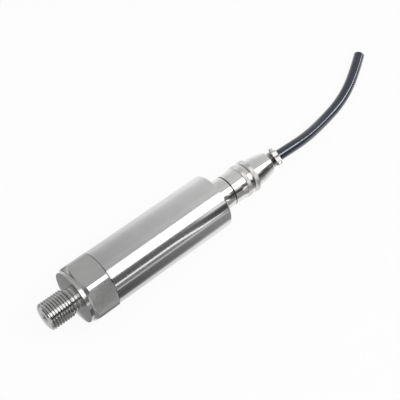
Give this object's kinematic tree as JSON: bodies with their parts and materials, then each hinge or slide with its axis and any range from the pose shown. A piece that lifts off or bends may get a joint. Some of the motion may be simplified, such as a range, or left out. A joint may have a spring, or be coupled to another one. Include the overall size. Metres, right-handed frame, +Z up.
{
  "type": "pressure transmitter",
  "caption": "Stainless pressure transmitter with a male process thread, a hexagonal collar, a smooth tubular housing and a round screw-on plug with a short cable.",
  "frame": {"origin": "centre of the round seal face, where the thread's relief neck meets the collar's spigot", "axes": "+X along the axis from the thread to the cable, +Z up as the part lies on one flat of its hexagon, +Y to the far side"},
  "size_m": [0.2217, 0.0442, 0.027],
  "materials": {
    "body_steel": "turned stainless steel, satin",
    "foil_steel": "thin rolled stainless foil, bright",
    "silicon": "polished dark silicon",
    "seal_rubber": "moulded black rubber, matt",
    "gold_contact": "gold-plated brass, bright",
    "black_plastic": "moulded black plastic, matt",
    "board_green": "glass-fibre board with green solder resist",
    "tinned_lead": "tinned flat lead",
    "ceramic_tan": "fired tan ceramic",
    "amber_film": "amber polyimide film",
    "nickel_plate": "bright nickel plate over turned brass",
    "screw_steel": "zinc-plated steel, bright",
    "core_insulation": "extruded core insulation",
    "cable_jacket": "glossy near-black flexible jacket"
  },
  "bodies": {
    "root": {"process_fitting": "body_steel", "housing_tube": "body_steel", "housing_seal": "seal_rubber", "diaphragm": "foil_steel", "sensor_cell": "body_steel", "sensor_die": "silicon", "cell_seal": "seal_rubber", "cell_pins": "gold_contact", "cell_retainer": "body_steel", "board_holder_front": "black_plastic", "board_holder_rear": "black_plastic", "amplifier_board": "board_green", "amplifier_chip": "black_plastic", "regulator_chip": "black_plastic", "chip_leads": "tinned_lead", "capacitors": "ceramic_tan", "resistors": "black_plastic", "sensor_ribbon": "amber_film", "output_ribbon": "amber_film", "receptacle_shell": "nickel_plate", "receptacle_gasket": "seal_rubber", "receptacle_nut": "nickel_plate", "receptacle_insert": "black_plastic", "contact_pins": "gold_contact", "shoulder_seal": "seal_rubber"},
    "plug": {"plug_sleeve": "nickel_plate", "plug_insert": "black_plastic", "plug_sockets": "gold_contact", "back_shell": "nickel_plate", "clamp_half": "nickel_plate", "clamp_screws": "screw_steel", "cable_grommet": "seal_rubber", "cable_cores": "core_insulation", "cable": "cable_jacket"},
    "nut": {"coupling_nut": "nickel_plate"}
  },
  "joints": [
    {"name": "plug_slide", "type": "slide", "parent": "root", "child": "plug", "axis": [1, 0, 0], "range_m": [0, 0.005]},
    {"name": "nut_turn", "type": "hinge", "parent": "plug", "child": "nut", "pos_m": [0.094, 0, 0], "axis": [1, 0, 0], "range_deg": [0, 1800]}
  ],
  "couplings": [
    {"joint": "nut_turn", "follows": "plug_slide", "rad_per_m": 6283.2}
  ]
}
